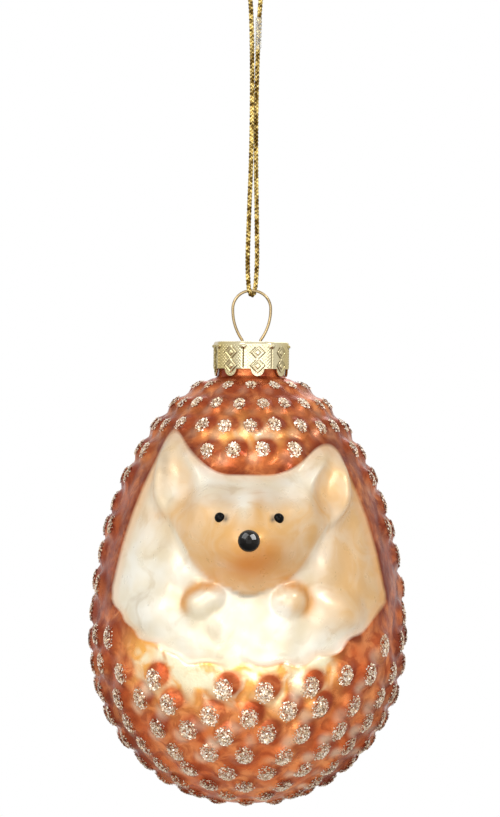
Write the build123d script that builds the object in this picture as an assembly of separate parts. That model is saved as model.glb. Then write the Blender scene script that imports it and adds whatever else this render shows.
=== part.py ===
from build123d import *
from math import asin, cos, degrees, pi, radians, sin, sqrt, tan
import os

os.makedirs("parts", exist_ok=True)

# Blown glass egg: two half ellipses of revolution that meet at the widest level
EGG_RADIUS = 28.7
EGG_LOW = 30.5
EGG_HIGH = 50.6
GLASS_WALL = 1.1
NECK_RADIUS = 6.2
NECK_WALL = 1.0
NECK_RISE = 4.9
SHOULDER_FILLET = 1.0

# Face, with levels above the widest level and depths measured from the surface behind
HEAD_LEVEL = 20.2
HEAD_RADIUS = 11.8
HEAD_HALF_WIDTH = 16.5
HEAD_SUNK = 6.2
MUZZLE_LEVEL = 18.4
MUZZLE_RADIUS = 7.0
MUZZLE_REACH = 9.5
MUZZLE_FORWARD = 7.7
NOSE_RADIUS = 2.0
NOSE_LEVEL = 19.7
NOSE_SUNK = 0.4
EYE_RADIUS = 0.95
EYE_LEVEL = 23.7
EYE_OFFSET = 5.3
EYE_SUNK = 0.3
EAR_AZIMUTH = 37.0
EAR_LEVEL = 29.6
EAR_LENGTH = 15.6
EAR_WIDTH = 10.0
EAR_SUNK = 1.6
EAR_RIM = 1.3
EAR_DISH_OUT = 2.4
PAW_AZIMUTH = 15.5
PAW_LEVEL = 8.6
PAW_RADIUS = 3.2
PAW_SUNK = 1.4

# Opening of the coat around face and belly, seen from the front as half widths and levels
COAT_STEP = 0.5
OPENING_TIP = (14.5, 38.0)
OPENING_FLANK = (21.8, 23.0)
OPENING_SIDE = (25.4, 8.0)
OPENING_BELLY = (17.5, -1.4)
OPENING_LOW = -4.3
TUFT_HALF_WIDTH = 7.0
TUFT_LEVEL = 31.2

# Raised dots of the coat: drops of glitter in rows, every second row turned half a step, each dot led
# astray around and down by two waves along the rows
DOT_TOP_LEVEL = 47.4
DOT_COLUMNS = 24
DOT_PITCH_DOWN = 5.1
DOT_LEAST_PITCH = 4.2
DOT_FOOT_PITCH = 7.2
DOT_GIRTH_RADIUS = 2.0
DOT_POLE_RADIUS = 1.3
DOT_HEIGHT = 1.2
DOT_FILM = 0.08
DOT_TAPER = 12.0
DOT_SIDES = 8
DOT_CLEAR = 2.0
DOT_SAG = 3.0
DOT_SAG_POWER = 4
DOT_SAG_FADE = 4
DOT_STRAY = 0.7
DOT_STRAY_AROUND = 1.9
DOT_STRAY_DOWN = 4.4
DOT_LOWEST_TURN = -84.0

# Stamped crown cap: an eight-sided cup with a scalloped skirt
CAP_ACROSS = 13.6
CAP_SIDES = 8
CAP_TURN = 33.0
CAP_CORNER = 2.5
CAP_HEIGHT = 6.5
CAP_SHEET = 0.3
CAP_TOP_ROUND = 0.5
CAP_RIM_GAP = 0.1
ARCH_WIDTH = 3.2
ARCH_RISE = 1.4
ARCH_ROUND = 0.6

# Sprung wire hanger: a ring above the cap, a waist in its two holes and splayed legs in the neck
WIRE_DIAMETER = 0.55
RING_WIDTH = 7.1
RING_RISE = 9.6
RING_TOP_ROUND = 3.4
RING_SIDE_ROUND = 9.5
WAIST_WIDTH = 3.3
WAIST_ROUND = 1.2
LEG_SPLAY = 35.0
LEG_ROUND = 1.5
LEG_DEPTH = 8.0
LEG_GAP = 0.25
HOLE_GAP = 0.15

# Hanging cord: a loop of thin braid from the hang point, round the ring, closed in a sleeve
CORD_DIAMETER = 0.85
CORD_CORNER_SHARE = 0.45
LOOP_DROP = 64.8
BIGHT_GAP = 0.15
SLEEVE_LENGTH = 6.0
SLEEVE_WALL = 0.18
SLEEVE_GAP = 0.03
SLEEVE_SHARE = 0.25
CORD_END_GAP = 0.4

# Right half of the loop: half widths and levels of its eye, then places down the strand to the ring
LOOP_TOP_HALF_WIDTH = 1.2
LOOP_EYE = [(2.9, -1.3), (2.95, -3.9), (1.7, -7.2)]
STRAND_HIGH = (0.7, 0.06, -10.5)
STRAND_MID = (0.28, 0.48, -34.7)
STRAND_LOW = (0.9, 0.8, -57.0)
STRAND_FOOT = (0.9, 0.9, -61.4)

# Levels in the part's frame, whose origin is the hang point
ring_z = -LOOP_DROP
cap_top_z = ring_z - RING_RISE
plate_z = cap_top_z - CAP_SHEET / 2
rim_z = cap_top_z - CAP_SHEET - CAP_RIM_GAP
egg_z = rim_z - NECK_RISE - EGG_HIGH
cap_low_z = cap_top_z - CAP_HEIGHT


def girth(level):
    """Radius of the egg at a level above its widest one."""
    height = EGG_HIGH if level > 0 else EGG_LOW
    return EGG_RADIUS * sqrt(1 - (level / height) ** 2)


def girth_level(radius):
    """Level on the egg's upper half where it has a radius."""
    return EGG_HIGH * sqrt(1 - (radius / EGG_RADIUS) ** 2)


def on_egg(azimuth, level):
    """Plane on the egg at an azimuth from the middle of the face, its Z axis along the outward normal."""
    height = EGG_HIGH if level > 0 else EGG_LOW
    across, along = sin(radians(azimuth)), -cos(radians(azimuth))
    radius = girth(level)
    outward = radius / EGG_RADIUS**2
    return Plane(
        origin=(radius * across, radius * along, egg_z + level),
        x_dir=(-along, across, 0),
        z_dir=(outward * across, outward * along, level / height**2),
    )


def ellipsoid(half_x, half_y, half_z):
    """Ball stretched to three half lengths."""
    return scale(Sphere(1), by=(half_x, half_y, half_z))


def egg(inset):
    """Two half ellipsoids about the widest level, their surface moved in by an inset."""
    radius = EGG_RADIUS - inset
    upper = Sphere(1, arc_size1=0, arc_size2=90, align=(Align.CENTER, Align.CENTER, Align.MIN))
    lower = Sphere(1, arc_size1=-90, arc_size2=0, align=(Align.CENTER, Align.CENTER, Align.MAX))
    upper = scale(upper, by=(radius, radius, EGG_HIGH - inset))
    lower = scale(lower, by=(radius, radius, EGG_LOW - inset))
    return Pos(0, 0, egg_z) * (upper + lower)


def neck():
    """Outside of the neck, with a hollow curve where it runs out into the egg."""
    foot = NECK_RADIUS + SHOULDER_FILLET
    foot_level = girth_level(foot)
    rim_level = rim_z - egg_z
    edges = [
        Polyline((foot, foot_level), (0, 0), (0, rim_level), (NECK_RADIUS, rim_level)),
        Line((NECK_RADIUS, rim_level), (NECK_RADIUS, foot_level + SHOULDER_FILLET)),
        CenterArc((foot, foot_level + SHOULDER_FILLET), SHOULDER_FILLET, 180, 90),
    ]
    return Pos(0, 0, egg_z) * revolve(Plane.XZ * make_face(edges), Axis.Z)


def bore():
    """Inside of the neck, from the egg's widest level up to the rim."""
    return Pos(0, 0, egg_z) * extrude(Circle(NECK_RADIUS - NECK_WALL), rim_z - egg_z)


head_depth = girth(HEAD_LEVEL) - HEAD_SUNK
muzzle_depth = head_depth + MUZZLE_FORWARD


def head_ball(inset):
    """Head, an ellipsoid that swells out of the egg's front."""
    head = ellipsoid(HEAD_HALF_WIDTH - inset, HEAD_RADIUS - inset, HEAD_RADIUS - inset)
    return Pos(0, -head_depth, egg_z + HEAD_LEVEL) * head


def muzzle_ball(inset):
    """Muzzle, an ellipsoid that swells out of the head."""
    muzzle = ellipsoid(MUZZLE_RADIUS - inset, MUZZLE_REACH - inset, MUZZLE_RADIUS - inset)
    return Pos(0, -muzzle_depth, egg_z + MUZZLE_LEVEL) * muzzle


def ear(side):
    """Dished ear, its length lying up the egg."""
    half_width, half_length = EAR_WIDTH / 2, EAR_LENGTH / 2
    outer = ellipsoid(half_width, half_length, half_width)
    dish = ellipsoid(half_width - EAR_RIM, half_length - EAR_RIM, half_width - EAR_RIM)
    shell = outer - Pos(0, 0, EAR_DISH_OUT + EAR_SUNK) * dish
    return on_egg(side * EAR_AZIMUTH, EAR_LEVEL) * Pos(0, 0, -EAR_SUNK) * shell


def paw(side):
    """Round forepaw held under the chin."""
    return on_egg(side * PAW_AZIMUTH, PAW_LEVEL) * Pos(0, 0, -PAW_SUNK) * Sphere(PAW_RADIUS)


def coat_opening():
    """Outline of the bare face and belly in front view, with the coat's tuft between the ears."""
    tip_x, tip_z = OPENING_TIP
    side_x, side_z = OPENING_SIDE
    flank_x, flank_z = OPENING_FLANK
    belly_x, belly_z = OPENING_BELLY
    edges = [Line((-TUFT_HALF_WIDTH, TUFT_LEVEL), (TUFT_HALF_WIDTH, TUFT_LEVEL))]
    for side in (-1, 1):
        tip = (side * tip_x, tip_z)
        hip = (side * side_x, side_z)
        edges.append(Line((side * TUFT_HALF_WIDTH, TUFT_LEVEL), tip))
        edges.append(ThreePointArc(tip, (side * flank_x, flank_z), hip))
        edges.append(ThreePointArc(hip, (side * belly_x, belly_z), (0, OPENING_LOW)))
    return make_face(edges)


def dot_places(opening):
    """Plane and base radius of each dot: rows one pitch apart down the egg, each dot a little astray,
    and none near the coat's opening."""
    places = []
    row = 0
    turn = asin(DOT_TOP_LEVEL / EGG_HIGH)
    while turn > radians(DOT_LOWEST_TURN):
        height, pitch = (EGG_HIGH, DOT_LEAST_PITCH) if turn > 0 else (EGG_LOW, DOT_FOOT_PITCH)
        radius = EGG_RADIUS * cos(turn)
        run = sqrt((EGG_RADIUS * sin(turn)) ** 2 + (height * cos(turn)) ** 2)
        count = min(round(2 * pi * radius / pitch), DOT_COLUMNS)
        share = radius / EGG_RADIUS
        size = DOT_POLE_RADIUS + (DOT_GIRTH_RADIUS - DOT_POLE_RADIUS) * share
        stray = DOT_STRAY * share**2
        for index in range(count):
            number = row * count + index
            astray = degrees(stray * sin(DOT_STRAY_AROUND * number) / radius)
            azimuth = 360 * (index + row % 2 / 2) / count + astray
            facing = max(cos(radians(azimuth)), 0)
            sag = DOT_SAG * facing**DOT_SAG_POWER * share**DOT_SAG_FADE if turn < 0 else 0
            level = height * sin(turn + stray * sin(DOT_STRAY_DOWN * number) / run) - sag
            across = girth(level) * sin(radians(azimuth))
            if facing == 0 or opening.distance_to(Vector(across, level)) > DOT_CLEAR:
                places.append((on_egg(azimuth, level), size))
        below = turn - DOT_PITCH_DOWN / run
        turn = below * EGG_HIGH / EGG_LOW if turn > 0 > below else below
        row += 1
    return places


def glitter_dot(base_radius):
    """Drop with sloped sides and a flat top, a film of glue above the glass."""
    return Pos(0, 0, DOT_FILM) * extrude(RegularPolygon(base_radius, DOT_SIDES), DOT_HEIGHT, taper=DOT_TAPER)


def blown_form():
    """Outside of the glass: egg, neck, edge of the coat, head, muzzle, ears and paws."""
    window = Pos(0, 0, egg_z) * extrude(Plane.XZ * coat_opening(), 2 * EGG_RADIUS)
    form = egg(0) + neck() - window + egg(COAT_STEP) + head_ball(0) + muzzle_ball(0)
    for side in (-1, 1):
        form = form + ear(side) + paw(side)
    return form


def hollow():
    """Inside of the glass: egg, neck, head and muzzle, one wall in from the outside."""
    return egg(GLASS_WALL + COAT_STEP) + bore() + head_ball(GLASS_WALL) + muzzle_ball(GLASS_WALL)


def head_surface(across, level):
    """Depth of the head's front at a place in front view."""
    radius = HEAD_RADIUS * sqrt(1 - (across / HEAD_HALF_WIDTH) ** 2)
    return head_depth + sqrt(radius**2 - (level - HEAD_LEVEL) ** 2)


def muzzle_surface(level):
    """Depth of the muzzle's front on the middle plane."""
    return muzzle_depth + MUZZLE_REACH * sqrt(1 - ((level - MUZZLE_LEVEL) / MUZZLE_RADIUS) ** 2)


def nose():
    """Drop of enamel: the part of a ball that stands out of the muzzle."""
    depth = muzzle_surface(NOSE_LEVEL) - NOSE_SUNK
    return Pos(0, -depth, egg_z + NOSE_LEVEL) * Sphere(NOSE_RADIUS) - muzzle_ball(0)


def eye(side):
    """Drop of enamel: the part of a ball above the plane that touches the head at the eye."""
    depth = head_surface(EYE_OFFSET, EYE_LEVEL)
    touch = Plane(
        origin=(side * EYE_OFFSET, -depth, egg_z + EYE_LEVEL),
        z_dir=(
            side * EYE_OFFSET / HEAD_HALF_WIDTH**2,
            (head_depth - depth) / HEAD_RADIUS**2,
            (EYE_LEVEL - HEAD_LEVEL) / HEAD_RADIUS**2,
        ),
    )
    return touch * split(Pos(0, 0, -EYE_SUNK) * Sphere(EYE_RADIUS), bisect_by=Plane.XY, keep=Keep.TOP)


def crown_cap():
    """Stamped cup with eight panels, arches between its scallops and two holes for the wire."""
    outline = RegularPolygon(CAP_ACROSS / 2, CAP_SIDES, major_radius=False, rotation=CAP_TURN)
    outline = fillet(outline.vertices(), CAP_CORNER)
    cup = Pos(0, 0, cap_low_z) * extrude(outline, CAP_HEIGHT)
    cup = fillet(cup.faces().sort_by(Axis.Z)[-1].edges(), CAP_TOP_ROUND)
    inside = offset(outline, -CAP_SHEET)
    cup -= Pos(0, 0, cap_low_z) * extrude(inside, CAP_HEIGHT - CAP_SHEET)
    arch = extrude(Plane.YZ * RectangleRounded(ARCH_WIDTH, 2 * ARCH_RISE, ARCH_ROUND), CAP_ACROSS)
    for index in range(CAP_SIDES):
        cup -= Pos(0, 0, cap_low_z) * Rot(0, 0, CAP_TURN + 360 * index / CAP_SIDES) * arch
    hole = Cylinder(WIRE_DIAMETER / 2 + HOLE_GAP, 4 * CAP_SHEET)
    for side in (-1, 1):
        cup -= Pos(side * WAIST_WIDTH / 2, 0, plate_z) * hole
    return cup


def hanger_wire():
    """One bent wire, from one leg's tip through the ring to the other's."""
    half_splay = radians(LEG_SPLAY)
    waist_x = WAIST_WIDTH / 2 - WAIST_ROUND * (1 / cos(half_splay) - 1)
    leg_x = NECK_RADIUS - NECK_WALL - WIRE_DIAMETER / 2 - LEG_GAP
    ring_x = RING_WIDTH / 2
    half = [
        (leg_x, cap_top_z - LEG_DEPTH),
        (leg_x, plate_z - (leg_x - waist_x) / tan(half_splay)),
        (waist_x, plate_z),
        (ring_x, plate_z + (ring_x - waist_x) / tan(half_splay)),
        (ring_x, ring_z),
    ]
    points = [(-x, 0, z) for x, z in half] + [(x, 0, z) for x, z in reversed(half)]
    rounds = [LEG_ROUND, WAIST_ROUND, RING_SIDE_ROUND, RING_TOP_ROUND]
    path = FilletPolyline(points, radius=rounds + rounds[::-1])
    return sweep(Plane(path @ 0, z_dir=path % 0) * Circle(WIRE_DIAMETER / 2), path=path)


strand = Vector(STRAND_MID) - Vector(STRAND_HIGH)
sleeve_centre = Vector(STRAND_HIGH) + strand * SLEEVE_SHARE


def cord_route():
    """Points of the loop from the sleeve down to the ring, up the left strand and over the hang point back;
    the left half is the right one after half a turn."""
    foot_x, foot_y, _ = STRAND_FOOT
    bight_z = ring_z - (WIRE_DIAMETER + CORD_DIAMETER) / 2 - BIGHT_GAP
    upper = [(LOOP_TOP_HALF_WIDTH, 0, CORD_DIAMETER / 2)] + [(x, 0, z) for x, z in LOOP_EYE] + [STRAND_HIGH]
    lower = [STRAND_MID, STRAND_LOW, STRAND_FOOT, (foot_x, foot_y, bight_z)]
    left = [(-x, -y, z) for x, y, z in reversed(upper + lower)]
    end_gap = strand.normalized() * (CORD_END_GAP / 2)
    loop = [Vector(point) for point in lower + left + upper]
    return [sleeve_centre + end_gap] + loop + [sleeve_centre - end_gap]


def route_radii(points):
    """Radius of each corner: a share of its shorter run over the tangent of half its turn."""
    radii = []
    for before, here, after in zip(points, points[1:], points[2:]):
        run_in, run_out = here - before, after - here
        turn = radians(run_in.get_angle(run_out))
        radii.append(CORD_CORNER_SHARE * min(run_in.length, run_out.length) / tan(turn / 2))
    return radii


def hanging_cord():
    """Round tube along the loop's route."""
    points = cord_route()
    path = FilletPolyline(points, radius=route_radii(points))
    print("cord length", round(path.length, 2))
    return sweep(Plane(path @ 0, z_dir=path % 0) * Circle(CORD_DIAMETER / 2), path=path)


def cord_sleeve():
    """Clear tube that closes the loop round the cord's two ends."""
    bore = CORD_DIAMETER / 2 + SLEEVE_GAP
    section = Circle(bore + SLEEVE_WALL) - Circle(bore)
    frame = Plane(sleeve_centre, z_dir=strand)
    return extrude(frame * section, SLEEVE_LENGTH / 2, both=True)


dots = [plane * glitter_dot(size) for plane, size in dot_places(coat_opening())]

nodes = {
    "hanging_cord": hanging_cord(),
    "cord_sleeve": cord_sleeve(),
    "hanger_wire": hanger_wire(),
    "crown_cap": crown_cap(),
    "glass_body": blown_form() - hollow(),
    "glitter_dots": Compound(dots),
    "nose": nose(),
    "eye_left": eye(-1),
    "eye_right": eye(1),
}
for name, shape in nodes.items():
    export_step(shape, f"parts/{name}.step")
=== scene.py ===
import math

import bpy
import numpy as np
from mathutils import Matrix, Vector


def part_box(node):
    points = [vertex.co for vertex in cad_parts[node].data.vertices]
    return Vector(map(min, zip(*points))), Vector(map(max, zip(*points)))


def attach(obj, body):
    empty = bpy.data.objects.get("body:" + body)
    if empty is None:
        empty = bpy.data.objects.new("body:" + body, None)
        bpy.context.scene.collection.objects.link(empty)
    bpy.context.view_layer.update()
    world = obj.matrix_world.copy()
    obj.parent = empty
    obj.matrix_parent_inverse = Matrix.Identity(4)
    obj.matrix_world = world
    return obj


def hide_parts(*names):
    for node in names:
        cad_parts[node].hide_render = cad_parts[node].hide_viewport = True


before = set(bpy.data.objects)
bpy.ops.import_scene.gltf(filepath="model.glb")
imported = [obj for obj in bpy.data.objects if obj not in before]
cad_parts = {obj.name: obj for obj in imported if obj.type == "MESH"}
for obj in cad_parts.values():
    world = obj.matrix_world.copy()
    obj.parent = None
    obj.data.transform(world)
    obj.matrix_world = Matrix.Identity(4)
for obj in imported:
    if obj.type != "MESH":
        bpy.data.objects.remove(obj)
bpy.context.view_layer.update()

# Glass body
# One bubble of thin glass, blown into a two-part mould: an egg with a neck, and a face, ears and forepaws
# pressed out of its front. It is silvered inside and sprayed outside, copper on the coat and pearl cream on
# face and belly.
# The copper and the pearl also carry painted shade and painted highlight.

MM = 0.001
egg_radius = 28.7
egg_low = 30.5
egg_high = 50.6
neck_radius = 6.2
shoulder_round = 1.0
neck_wall = 1.0
lip_round = neck_wall / 2
glass_wall = 1.6
inside_radius = egg_radius - glass_wall
coat_step = 0.5
glass_low, glass_top = (corner[2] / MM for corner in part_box("glass_body"))
egg_z = glass_low + egg_low
rim_level = glass_top - egg_z


def add_mesh(name, points, faces, body, node):
    """Mesh object from points in millimetres, smooth shaded, riding a body and standing for a CAD node."""
    mesh = bpy.data.meshes.new(name)
    mesh.from_pydata((np.asarray(points) * MM).tolist(), [], faces)
    mesh.polygons.foreach_set("use_smooth", [True] * len(mesh.polygons))
    piece = bpy.data.objects.new(name, mesh)
    bpy.context.scene.collection.objects.link(piece)
    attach(piece, body)
    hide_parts(node)
    return piece


def grid_faces(rows, columns):
    """Quads of a grid of points kept row by row, with the last column joined to the first."""
    row = np.arange(rows - 1)[:, None] * columns
    column = np.arange(columns)[None, :]
    after = (column + 1) % columns
    corners = (row + column, row + after, row + columns + after, row + columns + column)
    return np.stack(np.broadcast_arrays(*corners), axis=-1).reshape(-1, 4).tolist()


def smooth_step(low, high, value):
    """Rise from 0 at low to 1 at high with level ends."""
    share = np.clip((value - low) / (high - low), 0, 1)
    return share * share * (3 - 2 * share)


def soft_union(first, second, blend):
    """The larger of two values, rounded off where they differ by less than a blend width."""
    near = np.clip(blend - np.abs(first - second), 0, None) / blend
    return np.maximum(first, second) + near * near * blend / 4


def glow(across, level, width, height):
    """Soft round patch, 1 in its middle."""
    return np.exp(-((across / width) ** 2 + (level / height) ** 2))


def girth(level):
    """Radius of the egg at a level above its widest one: two half ellipses."""
    height = np.where(level > 0, egg_high, egg_low)
    return egg_radius * np.sqrt(np.clip(1 - (level / height) ** 2, 0, 1))


def ball_reach(azimuth, level, centre, halves):
    """Distance from the upright axis to an ellipsoid's far side along a level ray; 0 where it misses."""
    ray_x, ray_y = np.sin(azimuth), -np.cos(azimuth)
    (cx, cy, cz), (hx, hy, hz) = centre, halves
    section = 1 - ((level - cz) / hz) ** 2
    a = (ray_x / hx) ** 2 + (ray_y / hy) ** 2
    b = ray_x * cx / hx**2 + ray_y * cy / hy**2
    c = (cx / hx) ** 2 + (cy / hy) ** 2 - section
    inside = b * b - a * c
    return np.where((inside > 0) & (section > 0), (b + np.sqrt(np.abs(inside))) / a, 0)


def inside_arc(across, level, start, middle, end):
    """How far a place lies inside the circle through three points of half width and level."""
    (x1, z1), (x2, z2), (x3, z3) = start, middle, end
    turn = 2 * (x1 * (z2 - z3) + x2 * (z3 - z1) + x3 * (z1 - z2))
    s1, s2, s3 = x1**2 + z1**2, x2**2 + z2**2, x3**2 + z3**2
    cx = (s1 * (z2 - z3) + s2 * (z3 - z1) + s3 * (z1 - z2)) / turn
    cz = (s1 * (x3 - x2) + s2 * (x1 - x3) + s3 * (x2 - x1)) / turn
    return math.hypot(x1 - cx, z1 - cz) - np.hypot(across - cx, level - cz)


opening_hip, opening_waist = (25.4, 8.0), (21.8, 23.0)
belly_side, belly_middle = (17.5, -1.4), (0.0, -4.3)
tuft_half, tuft_level = 7.0, 31.2


def side_margin(half, level, tip, tip_round, tuft_round, lift):
    """How far inside one half of the coat's opening a place lies in front view; below 0 it is coat."""
    lifted_side, lifted_middle = ((x, lift + z) for x, z in (belly_side, belly_middle))
    belly = inside_arc(half, level, opening_hip, lifted_side, lifted_middle)
    belly = np.where(level < opening_hip[1], belly, egg_high)
    flank = inside_arc(half, level, tip, opening_waist, opening_hip)
    run, rise = tip[0] - tuft_half, tip[1] - tuft_level
    slant = ((half - tuft_half) * rise - (level - tuft_level) * run) / math.hypot(run, rise)
    upper = soft_union(tuft_level - level, slant, tuft_round)
    return np.minimum(belly, -soft_union(-flank, -upper, tip_round))


left_tip, left_tip_round = (13.9, 40.0), 2.4
right_tip, right_tip_round = (14.5, 38.4), 4.0
tuft_corner_round = 3.0
belly_lift = 1.7


def bare_margin(across, level):
    """The opening's margin with its rounded corners, where the left ear stands higher than the right one."""
    half = np.abs(across)
    left = side_margin(half, level, left_tip, left_tip_round, tuft_corner_round, belly_lift)
    right = side_margin(half, level, right_tip, right_tip_round, tuft_corner_round, belly_lift)
    return np.where(across < 0, left, right)


left_ear = (-12.4, 30.8, 10.6, 6.2)
right_ear = (13.8, 29.6, 8.9, 5.6)
ear_tilt = math.radians(9)
ear_rim, ear_hollow = 2.5, 2.3


def ear_relief(across, level, side):
    """Height of a dished, pointed ear over the egg, and how deep in its dish a place lies."""
    ear_x, ear_level, half_length, half_width = left_ear if side < 0 else right_ear
    tilt = side * ear_tilt
    dx, dz = across - ear_x, level - ear_level
    along = (dx * math.sin(tilt) + dz * math.cos(tilt)) / half_length
    narrowing = 1 + 0.9 * smooth_step(-0.35, 1.0, along)
    aside = (dx * math.cos(tilt) - dz * math.sin(tilt)) / half_width * narrowing
    spread = np.sqrt(aside**2 + along**2)
    rim = ear_rim * smooth_step(1.1, 0.64, spread) * smooth_step(1.0, 0.25, along)
    dish = smooth_step(0.86, 0.1, np.sqrt((aside * 1.05) ** 2 + (along + 0.1) ** 2))
    return rim - ear_hollow * dish, dish


top_row_level, last_row_turn = 47.4, math.radians(-84)
upper_pitch, lower_pitch, most_in_row = 4.2, 7.2, 24
row_gap, most_stray, most_sag = 5.1, 0.7, 3.0
dot_least, dot_growth = 1.1, 1.5
dot_rows = []
row_turn = math.asin(top_row_level / egg_high)
while row_turn > last_row_turn:
    row_height, least_pitch = (egg_high, upper_pitch) if row_turn > 0 else (egg_low, lower_pitch)
    row_radius = egg_radius * math.cos(row_turn)
    row_count = min(round(2 * math.pi * row_radius / least_pitch), most_in_row)
    row_share = row_radius / egg_radius
    row_run = math.hypot(egg_radius * math.sin(row_turn), row_height * math.cos(row_turn))
    row_stray = most_stray * row_share**2
    row_number = len(dot_rows) * row_count + np.arange(row_count)
    row_azimuth = 2 * math.pi * (np.arange(row_count) + len(dot_rows) % 2 / 2) / row_count
    row_azimuth += row_stray * np.sin(1.9 * row_number) / row_radius
    row_facing = np.clip(np.cos(row_azimuth), 0, None)
    row_sag = most_sag * row_facing**4 * row_share**4 if row_turn < 0 else 0 * row_facing
    row_level = row_height * np.sin(row_turn + row_stray * np.sin(4.4 * row_number) / row_run) - row_sag
    row_size = np.full(row_count, dot_least + dot_growth * row_share)
    dot_rows.append(np.stack([row_azimuth, row_level, row_size], axis=1))
    row_below = row_turn - row_gap / row_run
    row_turn = row_below * egg_high / egg_low if row_turn > 0 > row_below else row_below

moulded_tip, sharp_corner, clear_of_bare = (14.5, 38.0), 1e-6, 2.0
every_dot = np.concatenate(dot_rows)
dot_half = girth(every_dot[:, 1]) * np.abs(np.sin(every_dot[:, 0]))
dot_gap = -side_margin(dot_half, every_dot[:, 1], moulded_tip, sharp_corner, sharp_corner, 0.0)
past_tip = np.hypot(dot_half - moulded_tip[0], every_dot[:, 1] - moulded_tip[1])
dot_gap = np.where(every_dot[:, 1] > moulded_tip[1], past_tip, dot_gap)
kept_dots = every_dot[(dot_gap > clear_of_bare) | (np.cos(every_dot[:, 0]) < 0)]
dot_azimuth, dot_level, dot_size = kept_dots.T
knob_height = 1.05
knob_share = dot_size / (dot_least + dot_growth)


def mound(reach):
    """Profile of a knob from the distance to its middle over its size: 1 on top, 0 beyond its foot."""
    return smooth_step(1.42, 0.25, reach)


def egg_place(azimuth, level):
    """Point on the bare egg and its outward normal, from azimuth and level."""
    height = np.where(level > 0, egg_high, egg_low)
    radius = girth(level)
    out = np.stack([np.sin(azimuth), -np.cos(azimuth), 0 * azimuth], axis=-1)
    up = np.array([0.0, 0.0, 1.0])
    normal = out * (radius / egg_radius**2)[..., None] + up * (level / height**2)[..., None]
    normal /= np.linalg.norm(normal, axis=-1, keepdims=True)
    return out * radius[..., None] + up * level[..., None], normal


dot_centres, dot_normals = egg_place(dot_azimuth, dot_level)
level_axis = np.stack([np.cos(dot_azimuth), np.sin(dot_azimuth), 0 * dot_azimuth], axis=1)
up_axis = np.cross(dot_normals, level_axis)

glass_columns, glass_rows = 352, 215
front_crowding = 0.42
pole_gap = 0.004
even = np.linspace(-math.pi, math.pi, glass_columns, endpoint=False)
glass_azimuth = even - front_crowding * np.sin(even)
neck_turn = math.acos((neck_radius + shoulder_round) / egg_radius)
profile_turn = np.linspace(-math.pi / 2 + pole_gap, neck_turn, glass_rows)
profile_level = np.where(profile_turn > 0, egg_high, egg_low) * np.sin(profile_turn)
azimuth_grid, level_grid = np.meshgrid(glass_azimuth, profile_level)
mould_seam = 0.02
front = np.cos(azimuth_grid) > mould_seam
across_grid = girth(level_grid) * np.sin(azimuth_grid)
long_wave, short_wave = 0.35, 0.25
border_wave = long_wave * np.sin(0.9 * across_grid + 0.4 * level_grid)
border_wave += short_wave * np.sin(1.7 * level_grid - 0.6 * across_grid)
border_wave *= smooth_step(14.0, 3.0, level_grid)
deep_in_coat = -20.0
bare_grid = np.where(front, bare_margin(across_grid, level_grid) + border_wave, deep_in_coat)
bare = smooth_step(-0.35, 0.35, bare_grid)

base_grid = girth(level_grid) - coat_step * smooth_step(-0.5, 0.9, bare_grid)
head_centre, head_depth, head_brow, head_chin = (0, -22.0, 21.0), 10.0, 13.0, 12.2
jaw_half, brow_extra = 11.3, 4.5


def head_halves(level):
    """Half lengths of the head's ellipsoid, which is wider at the brow than below the eyes."""
    half_height = np.where(level > head_centre[2], head_brow, head_chin)
    return jaw_half + brow_extra * smooth_step(17.0, 28.0, level), head_depth, half_height


muzzle_level, muzzle_rise, muzzle_width, muzzle_height = 18.4, 5.2, 6.6, 6.0


def muzzle_swell(across, level):
    """How far the muzzle swells out of the head at a place in front view."""
    return muzzle_rise * glow(across, level - muzzle_level, muzzle_width, muzzle_height)


chin_shape = ((0, -26.4, 11.8), (3.4, 3.4, 2.2))
chin_blend, paw_blend, arm_blend, limb_blend, ear_blend = 2.0, 1.4, 1.2, 1.8, 1.0
head = ball_reach(azimuth_grid, level_grid, head_centre, head_halves(level_grid))
chin = ball_reach(azimuth_grid, level_grid, *chin_shape)
snout = head + muzzle_swell(head * np.sin(azimuth_grid), level_grid) * (head > 0)
face = soft_union(snout, chin, chin_blend)
paws = np.zeros_like(level_grid)
paw_balls = ((-6.6, 9.3, 2.9, 2.6), (-8.6, 7.9, 3.2, 2.7), (7.2, 8.6, 3.5, 3.1))
paw_sunk, paw_deep = 1.8, 3.3
for paw_x, paw_level, paw_wide, paw_high in paw_balls:
    paw_y = paw_sunk - girth(paw_level) * math.cos(math.asin(paw_x / girth(paw_level)))
    paw = ball_reach(azimuth_grid, level_grid, (paw_x, paw_y, paw_level), (paw_wide, paw_deep, paw_high))
    paws = soft_union(paws, paw, paw_blend)
arm_x, arm_y, arm_level, arm_halves = 13.0, -17.6, 6.0, (8.0, 7.4, 6.0)
for side in (-1, 1):
    arm = ball_reach(azimuth_grid, level_grid, (side * arm_x, arm_y, arm_level), arm_halves)
    paws = soft_union(paws, arm, arm_blend)
face_blend = 1.4 + 4.0 * smooth_step(11.0, 20.0, level_grid)
fold_height = 0.24
fold = np.sin(0.75 * across_grid + 0.45 * level_grid)
fold = fold * np.sin(0.6 * level_grid - 0.3 * across_grid + 1.0)
base_grid += fold_height * fold * smooth_step(0.5, 3.0, bare_grid)
radius_grid = soft_union(soft_union(base_grid, paws, limb_blend), face, face_blend)
radius_grid = base_grid + (radius_grid - base_grid) * smooth_step(33.0, 25.0, level_grid)
dish_reach = 3.0
ear_dish = np.zeros_like(level_grid)
for side in (-1, 1):
    ear_height, dish_depth = ear_relief(across_grid, level_grid, side)
    ear_grid = girth(level_grid) - coat_step + ear_height
    near_ear = front & (ear_height + dish_reach * dish_depth > 0)
    sunk_grid = radius_grid * (1 - dish_depth) + ear_grid * dish_depth
    radius_grid = np.where(near_ear, soft_union(sunk_grid, ear_grid, ear_blend), radius_grid)
    ear_dish = np.maximum(ear_dish, dish_depth * front)

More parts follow.
